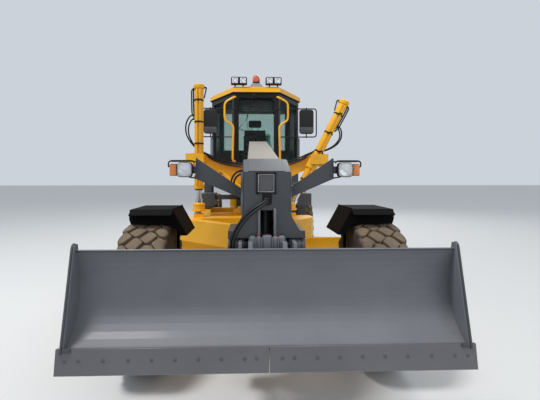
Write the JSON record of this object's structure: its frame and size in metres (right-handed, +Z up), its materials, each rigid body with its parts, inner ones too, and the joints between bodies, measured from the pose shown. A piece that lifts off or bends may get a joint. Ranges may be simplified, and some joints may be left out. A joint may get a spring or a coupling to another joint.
{
  "type": "motor grader",
  "caption": "Articulated motor grader with a raised dozer blade in front, a turning circle with a moldboard, a glazed cab, and tandem driven rear wheels.",
  "frame": {"origin": "centre of the machine's box on the ground", "axes": "+Y towards the rear, +Z up, +X to the image's right; the machine faces -Y"},
  "size_m": [3.6, 9.3498, 3.5003],
  "materials": {
    "yellow_paint": "satin",
    "rim_yellow": "satin",
    "dark_grey_paint": "satin",
    "black_paint": "satin",
    "taupe_paint": "satin",
    "bare_steel": "satin",
    "chrome_rod": "polished",
    "cast_iron": "matte",
    "tyre": "matte",
    "glass": "polished",
    "lens": "polished",
    "black_plastic": "matte",
    "seat_fabric": "matte"
  },
  "bodies": {
    "front_frame": {"gooseneck": "yellow_paint", "neck_cover": "taupe_paint", "saddle": "yellow_paint", "front_bracket": "dark_grey_paint", "lamp_arms": "dark_grey_paint", "lamp_lenses": "lens", "front_axle": "yellow_paint", "lean_gear": "yellow_paint", "platform": "dark_grey_paint", "cab_frame": "black_paint", "cab_roof": "yellow_paint", "cab_glass": "glass", "seat": "seat_fabric", "seat_base": "black_plastic", "console": "black_plastic", "grab_rails": "yellow_paint", "mirrors": "black_plastic", "roof_lamps": "black_plastic", "lift_barrel_left": "yellow_paint"},
    "steer_knuckle_left": {"knuckle_left": "yellow_paint", "fender_left": "black_plastic"},
    "steer_knuckle_right": {"knuckle_right": "yellow_paint", "fender_right": "black_plastic"},
    "steering_tie": {"tie_rod": "yellow_paint"},
    "drawbar_frame": {"drawbar": "yellow_paint", "circle_drive": "yellow_paint"},
    "lift_cylinder_right": {"lift_barrel_right": "yellow_paint"},
    "lift_rod_l": {"lift_rod_left": "chrome_rod"},
    "lift_rod_r": {"lift_rod_right": "chrome_rod"},
    "shift_cylinder": {"shift_barrel": "yellow_paint"},
    "shift_rod_body": {"shift_rod": "chrome_rod"},
    "turning_circle": {"circle": "yellow_paint"},
    "carrier": {"blade_carrier": "yellow_paint"},
    "moldboard": {"main_blade": "yellow_paint"},
    "dozer_arm": {"lower_arm": "dark_grey_paint"},
    "dozer_link": {"upper_link": "dark_grey_paint"},
    "dozer_blade": {"front_blade": "dark_grey_paint"},
    "ram_cylinder": {"ram_barrel": "dark_grey_paint"},
    "ram_rod_body": {"ram_rod": "chrome_rod"},
    "rear_body": {"rear_frame": "dark_grey_paint", "tandem_boxes": "yellow_paint", "hood": "yellow_paint", "grilles": "black_paint", "engine": "cast_iron"},
    "door_left": {"cab_door_left": "black_paint"},
    "door_right": {"cab_door_right": "black_paint"},
    "wheel_front_left": {"tyre_front_left": "tyre", "rim_front_left": "rim_yellow"},
    "wheel_front_right": {"tyre_front_right": "tyre", "rim_front_right": "rim_yellow"},
    "wheel_mid_left": {"tyre_mid_left": "tyre", "rim_mid_left": "rim_yellow"},
    "wheel_mid_right": {"tyre_mid_right": "tyre", "rim_mid_right": "rim_yellow"},
    "wheel_rear_left": {"tyre_rear_left": "tyre", "rim_rear_left": "rim_yellow"},
    "wheel_rear_right": {"tyre_rear_right": "tyre", "rim_rear_right": "rim_yellow"}
  },
  "joints": [
    {"name": "steer_left", "type": "hinge", "parent": "front_frame", "child": "steer_knuckle_left", "pos_m": [-0.83, -3.375, 0.675], "axis": [0, 0, 1], "range_deg": [-45, 45]},
    {"name": "steer_right", "type": "hinge", "parent": "front_frame", "child": "steer_knuckle_right", "pos_m": [0.83, -3.375, 0.675], "axis": [0, 0, 1], "range_deg": [-45, 45]},
    {"name": "tie_rod_pivot", "type": "hinge", "parent": "steer_knuckle_left", "child": "steering_tie", "pos_m": [-0.83, -3.185, 0.578], "axis": [0, 0, 1], "range_deg": [-45, 45]},
    {"name": "roll_front_left", "type": "hinge", "parent": "steer_knuckle_left", "child": "wheel_front_left", "pos_m": [-1.078, -3.375, 0.675], "axis": [1, 0, 0], "continuous": true},
    {"name": "roll_front_right", "type": "hinge", "parent": "steer_knuckle_right", "child": "wheel_front_right", "pos_m": [1.078, -3.375, 0.675], "axis": [1, 0, 0], "continuous": true},
    {"name": "roll_mid_left", "type": "hinge", "parent": "rear_body", "child": "wheel_mid_left", "pos_m": [-1.078, 2.075, 0.675], "axis": [1, 0, 0], "continuous": true},
    {"name": "roll_mid_right", "type": "hinge", "parent": "rear_body", "child": "wheel_mid_right", "pos_m": [1.078, 2.075, 0.675], "axis": [1, 0, 0], "continuous": true},
    {"name": "roll_rear_left", "type": "hinge", "parent": "rear_body", "child": "wheel_rear_left", "pos_m": [-1.078, 3.615, 0.675], "axis": [1, 0, 0], "continuous": true},
    {"name": "roll_rear_right", "type": "hinge", "parent": "rear_body", "child": "wheel_rear_right", "pos_m": [1.078, 3.615, 0.675], "axis": [1, 0, 0], "continuous": true},
    {"name": "drawbar_lift", "type": "hinge", "parent": "front_frame", "child": "drawbar_frame", "pos_m": [0, -3.575, 1.1], "axis": [-1, 0, 0], "range_deg": [0, 15.9]},
    {"name": "lift_rod_left_slide", "type": "slide", "parent": "front_frame", "child": "lift_rod_l", "axis": [0, 0, -1], "range_m": [0, 0.5257]},
    {"name": "lift_cylinder_right_swing", "type": "hinge", "parent": "front_frame", "child": "lift_cylinder_right", "pos_m": [0.81726, -1.5762, 2.04], "axis": [0, 1, 0], "range_deg": [-12.2, 0]},
    {"name": "lift_rod_right_slide", "type": "slide", "parent": "lift_cylinder_right", "child": "lift_rod_r", "axis": [-0.4573, 0, -0.8893], "range_m": [0, 0.5137]},
    {"name": "shift_cylinder_swing", "type": "hinge", "parent": "front_frame", "child": "shift_cylinder", "pos_m": [-0.52, -1.635, 1.835], "axis": [0, 1, 0], "range_deg": [0, 21.68]},
    {"name": "shift_rod_slide", "type": "slide", "parent": "shift_cylinder", "child": "shift_rod_body", "axis": [0.7986, 0, -0.6019], "range_m": [0, 0.388]},
    {"name": "circle_turn", "type": "hinge", "parent": "drawbar_frame", "child": "turning_circle", "pos_m": [-0.27074, -0.65753, 0.98], "axis": [0, 0, 1], "continuous": true},
    {"name": "blade_pitch", "type": "hinge", "parent": "turning_circle", "child": "carrier", "pos_m": [-0.27074, -0.56254, 0.375], "axis": [1, 0, 0], "range_deg": [-10, 25]},
    {"name": "blade_shift", "type": "slide", "parent": "carrier", "child": "moldboard", "axis": [1, 0, 0], "range_m": [-0.45, 0.45]},
    {"name": "front_blade_lift", "type": "hinge", "parent": "front_frame", "child": "dozer_arm", "pos_m": [0, -3.875, 0.56], "axis": [1, 0, 0], "range_deg": [0, 72]},
    {"name": "front_blade_level", "type": "hinge", "parent": "dozer_arm", "child": "dozer_blade", "pos_m": [0, -4.215, 0.81], "axis": [1, 0, 0], "range_deg": [-72, 0]},
    {"name": "upper_link_swing", "type": "hinge", "parent": "front_frame", "child": "dozer_link", "pos_m": [0, -3.875, 1.02], "axis": [1, 0, 0], "range_deg": [0, 72]},
    {"name": "ram_swing", "type": "hinge", "parent": "front_frame", "child": "ram_cylinder", "pos_m": [0, -4.015, 1.61], "axis": [1, 0, 0], "range_deg": [-0.23, 0.05]},
    {"name": "ram_slide", "type": "slide", "parent": "ram_cylinder", "child": "ram_rod_body", "axis": [0, -0.1033, -0.9946], "range_m": [0, 0.2785]},
    {"name": "articulation", "type": "hinge", "parent": "front_frame", "child": "rear_body", "pos_m": [0, 1.045, 1.1], "axis": [0, 0, 1], "range_deg": [-26, 26]},
    {"name": "door_right_swing", "type": "hinge", "parent": "front_frame", "child": "door_right", "pos_m": [0.72863, 0.89807, 2.4], "axis": [0, 0, 1], "range_deg": [0, 80]},
    {"name": "door_left_swing", "type": "hinge", "parent": "front_frame", "child": "door_left", "pos_m": [-0.72863, 0.89807, 2.4], "axis": [0, 0, 1], "range_deg": [-80, 0]}
  ],
  "couplings": [
    {"joint": "steer_right", "follows": "steer_left", "ratio": 1},
    {"joint": "tie_rod_pivot", "follows": "steer_left", "ratio": -1},
    {"joint": "lift_rod_left_slide", "follows": "drawbar_lift", "m_per_rad": 1.8905},
    {"joint": "lift_cylinder_right_swing", "follows": "drawbar_lift", "ratio": -0.76},
    {"joint": "lift_rod_right_slide", "follows": "drawbar_lift", "m_per_rad": 1.8475},
    {"joint": "shift_cylinder_swing", "follows": "drawbar_lift", "ratio": 1.35},
    {"joint": "shift_rod_slide", "follows": "drawbar_lift", "m_per_rad": 1.395},
    {"joint": "front_blade_level", "follows": "front_blade_lift", "ratio": -1},
    {"joint": "upper_link_swing", "follows": "front_blade_lift", "ratio": 1},
    {"joint": "ram_swing", "follows": "front_blade_lift", "ratio": -0.0025},
    {"joint": "ram_slide", "follows": "front_blade_lift", "m_per_rad": 0.221}
  ]
}
